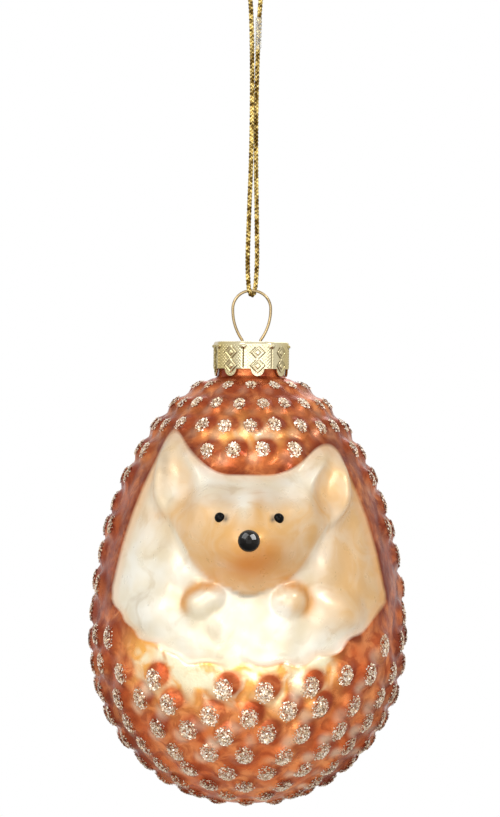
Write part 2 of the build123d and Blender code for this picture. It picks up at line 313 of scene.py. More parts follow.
ray = np.stack([np.sin(azimuth_grid), -np.cos(azimuth_grid), 0 * azimuth_grid], axis=-1)
glass_points = ray * radius_grid[..., None]
glass_points[..., 2] = level_grid
bare_points, bare_normals = egg_place(azimuth_grid, level_grid)
shade_right, shade_up, glint_left, glint_down = 0.36, 0.38, 0.85, 0.75
# Painted shade: a dark crescent beside each knob, to its upper right.
shade_centres = dot_centres + (shade_right * level_axis + shade_up * up_axis) * dot_size[:, None]
# Painted highlight: a pale glint beside each knob, to its lower left.
highlight_centres = dot_centres - (glint_left * level_axis + glint_down * up_axis) * dot_size[:, None]
knob = np.zeros_like(level_grid)
knob_shade = np.zeros_like(level_grid)
glint = np.zeros_like(level_grid)
for centre, dark, pale, size, share in zip(dot_centres, shade_centres, highlight_centres, dot_size, knob_share):
    reach, dark_reach, pale_reach = (
        np.linalg.norm(bare_points - place, axis=-1) / size for place in (centre, dark, pale)
    )
    knob = np.maximum(knob, mound(reach) * share)
    knob_shade = np.maximum(knob_shade, smooth_step(1.3, 0.55, dark_reach))
    glint = np.maximum(glint, smooth_step(0.9, 0.15, pale_reach))
glass_points += bare_normals * (knob_height * knob * (1 - bare))[..., None]

shoulder_steps, neck_steps, lip_steps, inside_steps = 8, 5, 7, 30
shoulder_turn = np.linspace(0, math.pi / 2, shoulder_steps)[1:]
foot_level = profile_level[-1]
shoulder_out = neck_radius + shoulder_round * (1 - np.sin(shoulder_turn))
shoulder_level = foot_level + shoulder_round * (1 - np.cos(shoulder_turn))
neck_level = np.linspace(shoulder_level[-1], rim_level - lip_round, neck_steps)[1:]
lip_turn = np.linspace(0, math.pi, lip_steps)[1:]
lip_out = neck_radius - lip_round * (1 - np.cos(lip_turn))
lip_level = rim_level - lip_round + lip_round * np.sin(lip_turn)
inside_top = math.acos((neck_radius - neck_wall) / inside_radius)
inside_turn = np.linspace(inside_top, -math.pi / 2 + pole_gap, inside_steps)
inside_out = inside_radius * np.cos(inside_turn)
inside_level = np.where(inside_turn > 0, egg_high - glass_wall, egg_low - glass_wall) * np.sin(inside_turn)
collar_out = np.concatenate([shoulder_out, np.full(len(neck_level), neck_radius), lip_out, inside_out])
collar_level = np.concatenate([shoulder_level, neck_level, lip_level, inside_level])
collar_ray = np.stack([np.sin(glass_azimuth), -np.cos(glass_azimuth), 0 * glass_azimuth], axis=-1)
collar_points = collar_ray[None] * collar_out[:, None, None]
collar_points[..., 2] = collar_level[:, None]
skin = np.concatenate([glass_points, collar_points])
skin[..., 2] += egg_z
skin_rows = len(skin)
poles = np.array([[0.0, 0.0, glass_low], [0.0, 0.0, glass_low + glass_wall]])
first_pole = skin_rows * glass_columns
ring = np.arange(glass_columns)
ring_after = (ring + 1) % glass_columns
last_ring = (skin_rows - 1) * glass_columns
skin_faces = grid_faces(skin_rows, glass_columns)
skin_faces += np.stack([np.full(glass_columns, first_pole), ring_after, ring], axis=1).tolist()
inner_fan = (np.full(glass_columns, first_pole + 1), last_ring + ring, last_ring + ring_after)
skin_faces += np.stack(inner_fan, axis=1).tolist()
skin_points = np.concatenate([skin.reshape(-1, 3), poles])
glass = add_mesh("glass_skin", skin_points, skin_faces, "glass", "glass_body")


def paint(piece, name, values):
    """Store one number for each point of a piece, for its material to read."""
    layer = piece.data.attributes.new(name, "FLOAT", "POINT")
    layer.data.foreach_set("value", np.asarray(values, dtype=np.float32).ravel())


def whole_skin(values, collar_values):
    """Values on the egg's rows, then one value for each row of the collar and inside, then the poles."""
    collar_grid = np.repeat(collar_values, glass_columns)
    return np.concatenate([values.ravel(), collar_grid, [0.0, collar_values[-1]]])


def crescent(across, level, centre, halves, facing, width):
    """Brush stroke along an ellipse in front view, strongest where it faces an angle from the right."""
    dx, dz = (across - centre[0]) / halves[0], (level - centre[1]) / halves[1]
    reach = np.hypot(dx, dz) + 1e-6
    aim = (dx * math.cos(facing) + dz * math.sin(facing)) / reach
    return np.exp(-(((reach - 1) / width) ** 2)) * smooth_step(0.0, 0.85, aim)


face_across = radius_grid * np.sin(azimuth_grid)
face_rise = (face - np.maximum(base_grid, paws)) * front
on_head = smooth_step(-0.6, 0.8, face_rise) * smooth_step(30.0, 24.0, level_grid)
on_head *= smooth_step(16.5, 11.0, np.abs(face_across))
# Painted highlight down the nose bridge, and painted shade beside it on the right.
bridge_highlight = glow(face_across + 1.0, level_grid - 26.3, 1.8, 4.0)
bridge_shade = glow(face_across - 1.7, level_grid - 25.6, 1.1, 3.0) * front
below_nose = glow(face_across, level_grid - 15.6, 6.2, 4.2)
round_nose = crescent(face_across, level_grid, (0.0, 19.2), (4.2, 4.0), math.radians(-60), 0.6)
# Painted shade in the crease where the head meets the belly.
head_crease_shade = np.exp(-((face_rise / 1.2) ** 2)) * (level_grid < 17) * front
# Painted shade: a thin dark line in the crease under the chin.
chin_crease_shade = crescent(face_across, level_grid, (0.0, 17.2), (8.0, 7.7), math.radians(-90), 0.07)
chin_crease_shade *= glow(face_across + 0.8, 0 * level_grid, 3.4, 1.0) * front
paw_stroke = crescent(across_grid, level_grid, (-7.4, 8.0), (4.2, 3.2), math.radians(140), 0.27)
paw_stroke += crescent(across_grid, level_grid, (7.2, 8.4), (3.9, 3.3), math.radians(30), 0.29)
right_paw = glow(across_grid - 8.6, level_grid - 8.2, 2.0, 2.2)
blush_and_crease_shade = 0.56 * below_nose + 0.36 * round_nose + 0.16 * head_crease_shade + 0.42 * paw_stroke * front
blush_and_crease_shade = np.clip(blush_and_crease_shade + 0.3 * smooth_step(1.6, 0.0, bare_grid), 0, 1)
right_side = smooth_step(7.0, 20.0, across_grid) * smooth_step(0.0, 7.0, level_grid)
left_side = smooth_step(-7.0, -16.0, across_grid) * smooth_step(14.0, 27.0, level_grid)
under_ear = glow(across_grid + 15.2, level_grid - 23.8, 2.6, 1.0)
# Tan wash on face and flanks, with painted shade beside the bridge; it is left out for the painted
# highlights.
tan_and_shade = 0.66 * on_head + 0.25 * glow(face_across, level_grid - 19.0, 9.0, 6.5)
tan_and_shade += 0.75 * right_side + 0.36 * left_side + 0.35 * ear_dish
left_ear_shine = glow(face_across + 14.6, level_grid - 27.4, 2.4, 2.6)
tan_and_shade *= 1 - 0.85 * np.maximum(bridge_highlight, left_ear_shine)
tan_and_shade += 0.4 * under_ear + 0.9 * paw_stroke + 0.6 * right_paw + 0.35 * bridge_shade
tan_and_shade = np.clip(tan_and_shade, 0, 1) * front
eye_smear = 0.95 * glow(np.abs(face_across) - 4.25, level_grid - 23.6, 0.5, 0.6) * front
# Painted shade beside the brow, in the left ear and beside the nose bridge.
brow_shade = glow(np.abs(face_across) - 4.2, level_grid - 27.2, 2.2, 2.4) * front
left_ear_shade = glow(face_across + 15.6, level_grid - 32.6, 1.1, 3.2) * front
face_shade = 0.16 * brow_shade + 0.4 * left_ear_shade + 0.12 * bridge_shade
smear_and_shade = np.maximum(np.maximum(eye_smear, face_shade), 0.45 * chin_crease_shade)
# Near the belly's border and in the tuft's middle the coat is gold where its lacquer is thin, with painted
# highlight.
belly_edge = smooth_step(-14.0, -1.0, bare_grid) * np.clip(smooth_step(6.0, -2.0, level_grid), 0.1, 1)
border_corner = smooth_step(16.0, 22.0, np.abs(across_grid + 3.0))
belly_edge *= 1 - border_corner
tuft_middle = 0.65 * glow(across_grid, level_grid - 38.5, 8.0, 3.6) * front
# Where the coat carries a painted shadow along its border with the pearl.
border_shadow = np.maximum(smooth_step(6.0, 14.0, level_grid), border_corner)
high_or_aside = np.maximum(smooth_step(24.0, 31.0, level_grid), smooth_step(19.0, 26.0, np.abs(across_grid)))
glint *= 1 - 0.7 * high_or_aside
# Painted shade: the coat darker on its sides, back, top and neck.
turned_away = smooth_step(0.8, 0.3, np.cos(azimuth_grid))
turned_away = np.maximum(turned_away, 0.85 * smooth_step(28.0, 42.0, level_grid))
margin_limit = 15
silvered_lip_rows = 3
collar_none = np.zeros(len(collar_out))
inside_rows = np.arange(len(collar_out)) >= len(collar_out) - len(inside_out) - silvered_lip_rows
margin_grid = np.clip(bare_grid, -margin_limit, margin_limit)
paint(glass, "margin", whole_skin(margin_grid, collar_none - margin_limit))
paint(glass, "flank", whole_skin(turned_away, np.ones(len(collar_out))))
paint(glass, "silver", whole_skin(0 * bare, inside_rows.astype(float)))
for name, values in (
    ("edge", np.maximum(belly_edge, tuft_middle)),
    ("outline", border_shadow),
    ("glint", glint),
    ("blush_and_crease_shade", blush_and_crease_shade),
    ("tan_and_shade", tan_and_shade),
    ("smear_and_shade", smear_and_shade),
    ("knob_shade", knob_shade),
):
    paint(glass, name, whole_skin(values, collar_none))


class Shading:
    """A Principled material under construction, with short calls for the nodes it is made of."""

    def __init__(self, name, **values):
        self.material = bpy.data.materials.new(name)
        self.material.use_nodes = True
        self.tree = self.material.node_tree
        self.surface = self.tree.nodes["Principled BSDF"]
        for socket, value in values.items():
            self.surface.inputs[socket.replace("_", " ")].default_value = value

    def node(self, kind, **values):
        """New node of a kind, with its properties and then its sockets set by name."""
        made = self.tree.nodes.new(kind)
        for key, value in values.items():
            if hasattr(made, key):
                setattr(made, key, value)
            else:
                made.inputs[key.replace("_", " ")].default_value = value
        return made

    def link(self, source, target):
        """Join an output to an input."""
        self.tree.links.new(source, target)

    def attribute(self, name):
        """A number painted on the piece."""
        return self.node("ShaderNodeAttribute", attribute_name=name).outputs["Fac"]

    def place(self):
        """The piece's own coordinates, in metres."""
        return self.node("ShaderNodeTexCoord").outputs["Object"]

    def noise(self, scale, detail=2.0, distortion=0.0):
        """Cloudy number between 0 and 1, finer with a larger scale, and streaky where it is distorted."""
        made = self.node("ShaderNodeTexNoise", Scale=scale, Detail=detail, Distortion=distortion)
        self.link(self.place(), made.inputs["Vector"])
        return made.outputs["Fac"]

    def ramp(self, source, low, high, low_value=0.0, high_value=1.0):
        """Stretch a number's range from low to high onto two other values."""
        limits = {"From_Min": low, "From_Max": high, "To_Min": low_value, "To_Max": high_value}
        made = self.node("ShaderNodeMapRange", **limits)
        self.link(source, made.inputs["Value"])
        return made.outputs["Result"]

    def mix(self, share, first, second):
        """Blend of two colours, each a plain colour or an output."""
        made = self.node("ShaderNodeMix", data_type="RGBA")
        self.link(share, made.inputs["Factor"])
        for socket, colour in zip((made.inputs[6], made.inputs[7]), (first, second)):
            if isinstance(colour, tuple):
                socket.default_value = (*colour, 1.0)
            else:
                self.link(colour, socket)
        return made.outputs[2]

    def math(self, operation, first, second):
        """Sum, product or the like of two outputs."""
        made = self.node("ShaderNodeMath", operation=operation)
        self.link(first, made.inputs[0])
        self.link(second, made.inputs[1])
        return made.outputs[0]

    def times(self, first, *others):
        """Product of several outputs."""
        for other in others:
            first = self.math("MULTIPLY", first, other)
        return first

    def drive(self, socket, source):
        """Send an output to a socket of the surface."""
        self.link(source, self.surface.inputs[socket])

    def bump(self, height, strength, distance):
        """Tilt the surface by a height, as fine relief."""
        made = self.node("ShaderNodeBump", Strength=strength, Distance=distance)
        self.link(height, made.inputs["Height"])
        self.drive("Normal", made.outputs["Normal"])

    def colour(self, source):
        """Send a colour to the surface."""
        self.drive("Base Color", source)

    def cover(self, piece):
        """Make this the one material of a piece."""
        piece.data.materials.clear()
        piece.data.materials.append(self.material)


deep_copper, bright_copper, burnt_copper = (0.72, 0.16, 0.042), (1.0, 0.375, 0.13), (0.42, 0.07, 0.02)
flank_shade_brown, knob_shade_brown, border_shadow_brown = (0.24, 0.038, 0.012), (0.29, 0.045, 0.013), (0.17, 0.022, 0.007)
gold_lacquer_and_highlight, highlight_cream, glint_cream = (0.98, 0.50, 0.12), (1.0, 0.90, 0.62), (1.0, 0.86, 0.62)
warm_pearl, white_pearl, dull_pearl = (0.86, 0.75, 0.54), (0.97, 0.92, 0.79), (0.66, 0.53, 0.34)
tan_and_shade_colour, blush_and_crease_brown, smear_and_shade_grey = (0.82, 0.45, 0.14), (0.68, 0.23, 0.03), (0.06, 0.06, 0.06)
silvering = (0.80, 0.79, 0.76)
lacquer = Shading("copper_and_pearl_lacquer", Coat_Roughness=0.12)
copper = lacquer.mix(lacquer.ramp(lacquer.noise(170.0), 0.35, 0.68), deep_copper, bright_copper)
mottle = lacquer.ramp(lacquer.noise(260.0, 3.0, 1.2), 0.46, 0.60, 0.0, 0.7)
copper = lacquer.mix(mottle, copper, burnt_copper)
# Painted shade on the sides, back, top and neck.
flank_shade_cloud = lacquer.ramp(lacquer.noise(230.0, 3.0, 1.0), 0.40, 0.60, 0.35, 1.0)
copper = lacquer.mix(lacquer.times(lacquer.attribute("flank"), flank_shade_cloud), copper, flank_shade_brown)
# Painted shade: dark brown crescents beside the knobs.
knob_shade_share = lacquer.attribute("knob_shade")
knob_shade_cloud = lacquer.ramp(lacquer.noise(150.0, 3.0), 0.36, 0.60, 0.15, 0.95)
copper = lacquer.mix(lacquer.times(knob_shade_share, knob_shade_cloud), copper, knob_shade_brown)
open_share = lacquer.ramp(knob_shade_share, 0.0, 0.8, 1.0, 0.0)
# Gold where the lacquer is thin with painted highlight on it, and pale cream painted highlight, near the
# border.
edge_share = lacquer.attribute("edge")
gold_cloud = lacquer.ramp(lacquer.noise(210.0), 0.34, 0.52, 0.35, 1.0)
coat_colour = lacquer.mix(lacquer.times(gold_cloud, edge_share, open_share), copper, gold_lacquer_and_highlight)
highlight_cloud = lacquer.ramp(lacquer.noise(230.0, 2.0, 0.6), 0.40, 0.58)
highlight_share = lacquer.times(lacquer.ramp(edge_share, 0.35, 0.9), open_share, highlight_cloud)
coat_colour = lacquer.mix(highlight_share, coat_colour, highlight_cream)
# Painted highlight: cream glints beside the knobs, most near the border.
glint_near_edge = lacquer.ramp(edge_share, 0.0, 1.0, 0.45, 1.0)
glint_cloud = lacquer.ramp(lacquer.noise(90.0), 0.38, 0.54)
glint_share = lacquer.times(lacquer.attribute("glint"), glint_near_edge, glint_cloud)
coat_colour = lacquer.mix(glint_share, coat_colour, glint_cream)
# Painted shadow: a dark line in the coat along its border with the pearl.
margin = lacquer.attribute("margin")
border_fade = lacquer.ramp(margin, -3.0, -0.4, 0.0, 0.9)
border_cloud = lacquer.ramp(lacquer.noise(190.0, 3.0, 1.0), 0.36, 0.56, 0.25, 1.0)
border_shadow_share = lacquer.times(lacquer.attribute("outline"), border_fade, border_cloud)
coat_colour = lacquer.mix(border_shadow_share, coat_colour, border_shadow_brown)
pearl = lacquer.mix(lacquer.ramp(lacquer.noise(160.0), 0.32, 0.68), warm_pearl, white_pearl)
stroke = lacquer.noise(150.0, 3.0, 1.4)
pearl = lacquer.mix(lacquer.ramp(stroke, 0.52, 0.66, 0.0, 0.4), pearl, dull_pearl)
# Tan wash, with painted shade and painted highlight on the face.
tan_and_shade_share = lacquer.times(lacquer.attribute("tan_and_shade"), lacquer.ramp(stroke, 0.32, 0.62, 0.8, 1.1))
pearl = lacquer.mix(tan_and_shade_share, pearl, tan_and_shade_colour)
# Tan blush, and painted shade in the head's crease.
pearl = lacquer.mix(lacquer.attribute("blush_and_crease_shade"), pearl, blush_and_crease_brown)
# Smeared eye enamel, and painted shade on the face.
pearl = lacquer.mix(lacquer.attribute("smear_and_shade"), pearl, smear_and_shade_grey)
bare_share = lacquer.ramp(margin, -0.25, 0.25)
skin_colour = lacquer.mix(bare_share, coat_colour, pearl)
lacquer.colour(lacquer.mix(lacquer.attribute("silver"), skin_colour, silvering))
for socket, on_coat, on_bare in (
    ("Metallic", 0.4, 0.15),
    ("Specular IOR Level", 0.06, 0.25),
    ("Coat Weight", 0.07, 0.16),
):
    lacquer.drive(socket, lacquer.ramp(bare_share, 0, 1, on_coat, on_bare))
lacquer.drive("Roughness", lacquer.ramp(lacquer.noise(420.0), 0.3, 0.7, 0.26, 0.38))
fur = lacquer.times(lacquer.noise(300.0, 1.0), lacquer.ramp(bare_share, 0, 1, 0.5, 0.25))
grain = lacquer.times(lacquer.noise(1500.0, 1.0), lacquer.ramp(bare_share, 0, 1, 0.1, 0.0))
lacquer.bump(lacquer.math("ADD", fur, grain), 0.5, 0.0012)
lacquer.cover(glass)

# Glitter dots
# Each raised dot of the coat is tipped with clear glue and a pinch of champagne glitter, put on by hand:
# small six-sided flakes of metallised film that lie at all tilts, some bright and some dark.

rng = np.random.default_rng(7)
flakes_per_area = 12.0
flake_size, flake_sides = 0.185, 6
golden_turn = math.radians(137.508)
lower_patch, upper_from = 1.9, 2
upper_patch = 0.7 + 0.75 * (dot_size - dot_least)
patch_radius = np.where(dot_level > upper_from, upper_patch, lower_patch)
flake_counts = np.round(flakes_per_area * math.pi * patch_radius**2).astype(int)
owner = np.repeat(np.arange(len(dot_size)), flake_counts)
order = np.concatenate([np.arange(count) for count in flake_counts])
spiral = np.sqrt((order + 0.5) / flake_counts[owner]) * patch_radius[owner]
spiral *= 1 + rng.normal(0, 0.05, len(owner))
swirl = order * golden_turn + owner
dot_lift = knob_height * knob_share[owner] * mound(spiral / dot_size[owner])
dot_lift += rng.uniform(0.05, 0.14, len(owner))
sink = spiral**2 / (2 * egg_radius)
flake_centres = dot_centres[owner] + dot_normals[owner] * (dot_lift - sink)[:, None]
flake_centres += level_axis[owner] * (0.9 * spiral * np.cos(swirl))[:, None]
flake_centres += up_axis[owner] * (1.08 * spiral * np.sin(swirl))[:, None]
lean = rng.normal(0, 0.34, (len(owner), 2))
flake_normals = dot_normals[owner] + level_axis[owner] * lean[:, :1] + up_axis[owner] * lean[:, 1:]
flake_normals /= np.linalg.norm(flake_normals, axis=1, keepdims=True)
flake_x = np.cross(up_axis[owner], flake_normals)
flake_x /= np.linalg.norm(flake_x, axis=1, keepdims=True)
flake_y = np.cross(flake_normals, flake_x)
flake_radius = flake_size * rng.uniform(0.75, 1.15, len(owner))
corner_turn = np.arange(flake_sides) * 2 * math.pi / flake_sides + rng.uniform(0, 1, (len(owner), 1))
flake_corners = flake_x[:, None] * np.cos(corner_turn)[..., None]
flake_corners += flake_y[:, None] * np.sin(corner_turn)[..., None]
flake_points = flake_centres[:, None] + flake_radius[:, None, None] * flake_corners
flake_points[..., 2] += egg_z
flake_faces = np.arange(len(owner) * flake_sides).reshape(-1, flake_sides).tolist()
glitter = add_mesh("glitter_flakes", flake_points.reshape(-1, 3), flake_faces, "glass", "glitter_dots")
paint(glitter, "tone", np.repeat(rng.random(len(owner)), flake_sides))
dark_film, champagne_film, bright_film = (0.44, 0.29, 0.17), (0.82, 0.62, 0.42), (1.0, 0.90, 0.76)
film = Shading("champagne_glitter", Metallic=0.6, Roughness=0.3)
tone = film.attribute("tone")
film_colour = film.mix(film.ramp(tone, 0.08, 0.35), dark_film, champagne_film)
film.colour(film.mix(film.ramp(tone, 0.55, 0.85), film_colour, bright_film))
film.cover(glitter)

# Nose and eyes
# Drops of thick black enamel, put on the painted face with a brush. They have run into glossy domes, and a
# little of the eyes' enamel is smeared towards the nose.

dome_rings, dome_points = 18, 40
dome_skirt, dome_top_gap = 0.5, 0.06


def dome(centre, normal, radius, height):
    """Half an ellipsoid with a skirt below its base plane: rings of points up to one on top."""
    normal = np.asarray(normal, float) / np.linalg.norm(normal)
    side = np.cross(normal, (0.0, 0.0, 1.0))
    side /= np.linalg.norm(side)
    other = np.cross(normal, side)
    rise = np.linspace(-dome_skirt, math.pi / 2 - dome_top_gap, dome_rings)[:, None]
    turn = np.linspace(0, 2 * math.pi, dome_points, endpoint=False)[None]
    flat = radius * np.cos(rise)
    points = (flat * np.cos(turn))[..., None] * side + (flat * np.sin(turn))[..., None] * other
    points += (height * np.sin(rise) + 0 * turn)[..., None] * normal
    top = np.asarray(centre, float) + height * normal
    points = np.concatenate([(points + centre).reshape(-1, 3), top[None]])
    around = np.arange(dome_points)
    last_ring = (dome_rings - 1) * dome_points
    top_index = np.full(dome_points, dome_rings * dome_points)
    top_fan = (last_ring + around, last_ring + (around + 1) % dome_points, top_index)
    return points, grid_faces(dome_rings, dome_points) + np.stack(top_fan, axis=1).tolist()


enamel = Shading("black_enamel", Roughness=0.05, Specular_IOR_Level=0.09)
deep_black, brown_black = (0.0010, 0.0009, 0.0008), (0.0030, 0.0026, 0.0022)
enamel.colour(enamel.mix(enamel.noise(900.0), deep_black, brown_black))
enamel.bump(enamel.noise(500.0, 1.0), 0.12, 0.0002)


def enamel_drop(node, centre, normal, radius, height):
    """A drop of enamel on the glass that stands for its CAD node."""
    points, faces = dome(centre, normal, radius, height)
    piece = add_mesh(node + "_drop", points, faces, "glass", node)
    enamel.cover(piece)
    return piece


def face_front(across, level):
    """Depth of the face's front at a place in front view: the head's ellipsoid and the muzzle's swelling."""
    half_width, half_depth, half_height = head_halves(level)
    bulge = math.sqrt(1 - (across / half_width) ** 2 - ((level - head_centre[2]) / half_height) ** 2)
    return head_centre[1] - half_depth * bulge - muzzle_swell(across, level)


nose_level, nose_radius, nose_height, nose_sunk = 19.7, 2.0, 1.9, 0.3
nose_centre = (0, face_front(0.0, nose_level) + nose_sunk, nose_level + egg_z)
nose = enamel_drop("nose", nose_centre, (0, -1, 0.12), nose_radius, nose_height)
eye_offset, eye_level, eye_radius, eye_height, eye_proud = 5.3, 23.7, 0.95, 0.8, 0.1
eye_depth = face_front(eye_offset, eye_level) - eye_proud
for side, node in ((-1, "eye_left"), (1, "eye_right")):
    eye_centre = (side * eye_offset, eye_depth, eye_level + egg_z)
    enamel_drop(node, eye_centre, (side * 0.2, -1, 0.1), eye_radius, eye_height)

# Crown cap
# A cup stamped from thin gold sheet: eight embossed panels, a skirt cut into scallops and a flat top with
# two holes for the wire. It sits over the neck and the wire's legs hold it down.

cap_low, cap_top = (corner[2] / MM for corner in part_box("crown_cap"))
cap_sides = 8
cap_apothem = 6.8
cap_corner = 2.5
cap_sheet = 0.3
cap_round = 0.5
cap_valley = 1.4
cap_tongue = 1.25
cap_turn = math.radians(33)
hole_radius = 0.425
hole_offset = 1.65
diamond_levels = (1.95, 4.45)
stipple_pitch = 0.62
boss_level = 5.75
flat_half = (cap_apothem - cap_corner) * math.tan(math.pi / cap_sides)
panel_length = 2 * (flat_half + cap_corner * math.pi / cap_sides)
panel_columns = 64
cap_columns = cap_sides * panel_columns
panel_u = (np.arange(cap_columns) % panel_columns / panel_columns - 0.5) * panel_length
panel_angle = cap_turn + (np.arange(cap_columns) // panel_columns + 0.5) * 2 * math.pi / cap_sides


def cap_outline(inset):
    """Points of the rounded octagon moved in by an inset, and the outward direction at each."""
    lean = np.clip(np.abs(panel_u) - flat_half, 0, None) / cap_corner
    out = cap_apothem - inset - (cap_corner - inset) * (1 - np.cos(lean))
    aside = np.sign(panel_u) * (np.minimum(np.abs(panel_u), flat_half) + (cap_corner - inset) * np.sin(lean))
    cosine, sine = np.cos(panel_angle), np.sin(panel_angle)
    facing = panel_angle + np.sign(panel_u) * lean
    points = np.stack([out * cosine - aside * sine, out * sine + aside * cosine], axis=-1)
    return points, np.stack([np.cos(facing), np.sin(facing)], axis=-1)


def stamping(u, v):
    """Height of the stamped pattern at a place on a panel, and the painted shade in its grooves: two framed
    diamonds, a stipple in the corners, a crease at the joint and a round boss on top of it."""
    height = np.zeros(np.broadcast(u, v).shape)
    groove_shade = np.zeros_like(height)
    free = np.ones_like(height)
    for middle in diamond_levels:
        ring = np.abs(u) + np.abs(v - middle)
        height += 0.16 * smooth_step(0.16, 0.06, np.abs(ring - 1.18)) + 0.18 * smooth_step(0.56, 0.44, ring)
        groove_shade += smooth_step(0.17, 0.06, np.abs(ring - 1.42)) * smooth_step(0.25, 0.45, np.abs(u))
        groove_shade += 0.85 * smooth_step(0.14, 0.05, np.abs(ring - 0.68))
        free *= smooth_step(1.5, 1.62, ring)
    stipple = np.sin(2 * math.pi * u / stipple_pitch) * np.sin(2 * math.pi * v / stipple_pitch)
    height += 0.06 * free * smooth_step(0.2, 0.8, stipple)
    groove_shade += 0.4 * free * smooth_step(-0.45, -0.9, stipple)
    joint = panel_length / 2 - np.abs(u)
    below_boss = smooth_step(5.6, 5.2, v)
    groove_shade += smooth_step(0.16, 0.03, joint) * below_boss
    height -= 0.22 * smooth_step(0.22, 0.0, joint) * below_boss
    boss = np.hypot(joint, v - boss_level)
    height += 0.3 * smooth_step(0.62, 0.25, boss)
    groove_shade += 0.8 * smooth_step(0.1, 0.02, np.abs(boss - 0.66))
    return height, np.clip(groove_shade, 0, 1)


tongue = np.clip(np.abs(panel_u) / cap_tongue, 0, 1)
skirt_low = cap_low + cap_valley * (1 - np.sqrt(1 - tongue**2))
outline, outline_facing = cap_outline(0.0)
cap_rows, cap_groove_shade = [], []
round_rows, skirt_rows, inside_shade = 5, 72, 0.3
for turn in np.linspace(0, math.pi / 2, round_rows):
    row = outline - outline_facing * cap_round * (1 - math.sin(turn))
    level = np.full(cap_columns, cap_top - cap_round * (1 - math.cos(turn)))
    cap_rows.append(np.column_stack([row, level]))
    cap_groove_shade.append(np.zeros(cap_columns))
for share in np.linspace(0, 1, skirt_rows)[1:]:
    level = (cap_top - cap_round) * (1 - share) + skirt_low * share
    height, groove_shade = stamping(panel_u, level - cap_low)
    fade = smooth_step(0.0, 0.35, level - skirt_low) * smooth_step(0.0, 0.3, cap_top - cap_round - level)
    row = outline + outline_facing * (height * fade)[:, None]
    cap_rows.append(np.column_stack([row, level]))
    cap_groove_shade.append(groove_shade * fade)
inner_outline, _ = cap_outline(cap_sheet)
for level in (skirt_low, np.full(cap_columns, cap_top - cap_sheet)):
    cap_rows.append(np.column_stack([inner_outline, level]))
    cap_groove_shade.append(np.full(cap_columns, inside_shade))
cap_points = np.concatenate(cap_rows)
cap_faces = [face[::-1] for face in grid_faces(len(cap_rows), cap_columns)]
middle_points, plate_rings, hole_points = 31, 6, 48


def half_plate(rim, side, level, first_index):
    """One half of the top plate: rings of points from a wire hole out to the rim and the middle line."""
    own = rim[rim[:, 0] * side > 1e-6]
    centre = np.array([side * hole_offset, 0.0])
    own = own[np.argsort(np.arctan2(own[:, 1], own[:, 0] * side))]
    ends = rim[np.argsort(np.abs(rim[:, 0]))[:2]]
    reach = np.max(np.abs(ends[:, 1]))
    middle = np.column_stack([np.zeros(middle_points), np.linspace(reach, -reach, middle_points)])
    border = np.concatenate([own, middle])
    spoke = border - centre
    hole = centre + hole_radius * spoke / np.linalg.norm(spoke, axis=1, keepdims=True)
    shares = np.linspace(0, 1, plate_rings)[:, None, None]
    flat = hole[None] * (1 - shares) + border[None] * shares
    rings = np.concatenate([flat, np.full((*flat.shape[:2], 1), level)], axis=2)
    faces = np.array(grid_faces(plate_rings, len(border))) + first_index
    return rings.reshape(-1, 3), faces.tolist()


for level, rim, upward in ((cap_top, cap_rows[0], True), (cap_top - cap_sheet, cap_rows[-1], False)):
    for side in (-1, 1):
        plate_points, plate_faces = half_plate(rim[:, :2], side, level, len(cap_points))
        cap_points = np.concatenate([cap_points, plate_points])
        cap_faces += plate_faces if upward == (side < 0) else [face[::-1] for face in plate_faces]
hole_turn = np.linspace(0, 2 * math.pi, hole_points, endpoint=False)
for side in (-1, 1):
    hole_x = side * hole_offset + hole_radius * np.cos(hole_turn)
    for level in (cap_top, cap_top - cap_sheet):
        hole_ring = np.column_stack([hole_x, hole_radius * np.sin(hole_turn), np.full(hole_points, level)])
        cap_points = np.concatenate([cap_points, hole_ring])
    first_index = len(cap_points) - 2 * hole_points
    cap_faces += (np.array(grid_faces(2, hole_points)) + first_index).tolist()
cap = add_mesh("stamped_cap", cap_points, cap_faces, "cap", "crown_cap")
# Painted shade in the stamped grooves and pits, and inside the cap.
stamped = np.concatenate(cap_groove_shade)
paint(cap, "groove_shade", np.concatenate([stamped, np.zeros(len(cap_points) - len(stamped))]))
# Painted shade and reflection: the side panels a darker warm gold, the front and back ones paler.
front_panel = math.radians(280.5)
side_panel_shade = 0.5 - 0.5 * np.cos(2 * (np.arctan2(cap_points[:, 1], cap_points[:, 0]) - front_panel))
paint(cap, "side_panel_shade", side_panel_shade)
cool_gold, pale_gold = (0.56, 0.49, 0.29), (0.84, 0.78, 0.58)
warm_gold, groove_shade_brown = (0.48, 0.37, 0.13), (0.10, 0.065, 0.02)
gold_sheet = Shading("stamped_gold_sheet", Metallic=1.0)
gold_colour = gold_sheet.mix(gold_sheet.noise(500.0), cool_gold, pale_gold)
gold_colour = gold_sheet.mix(gold_sheet.attribute("side_panel_shade"), gold_colour, warm_gold)
gold_sheet.colour(gold_sheet.mix(gold_sheet.attribute("groove_shade"), gold_colour, groove_shade_brown))
gold_sheet.drive("Roughness", gold_sheet.ramp(gold_sheet.noise(1200.0), 0.3, 0.7, 0.16, 0.30))
gold_sheet.cover(cap)

# Hanger wire
# One length of bright gold wire, bent over a pin into a ring above the cap. Its two legs go through the cap's
# holes, spring apart inside the neck and so hold the cap on the glass.

wire_gold = Shading("drawn_gold_wire", Metallic=1.0)
dark_wire, bright_wire = (0.20, 0.14, 0.07), (0.46, 0.35, 0.19)
wire_gold.colour(wire_gold.mix(wire_gold.noise(600.0), dark_wire, bright_wire))
wire_gold.drive("Roughness", wire_gold.ramp(wire_gold.noise(2500.0), 0.3, 0.7, 0.14, 0.3))
wire_gold.cover(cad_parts["hanger_wire"])

# Hanging cord
# A thin plait of gold metallic yarn. It leaves the ring, goes up over the hang point and comes back to the
# ring, its two ends closed in a clear sleeve on the right strand.

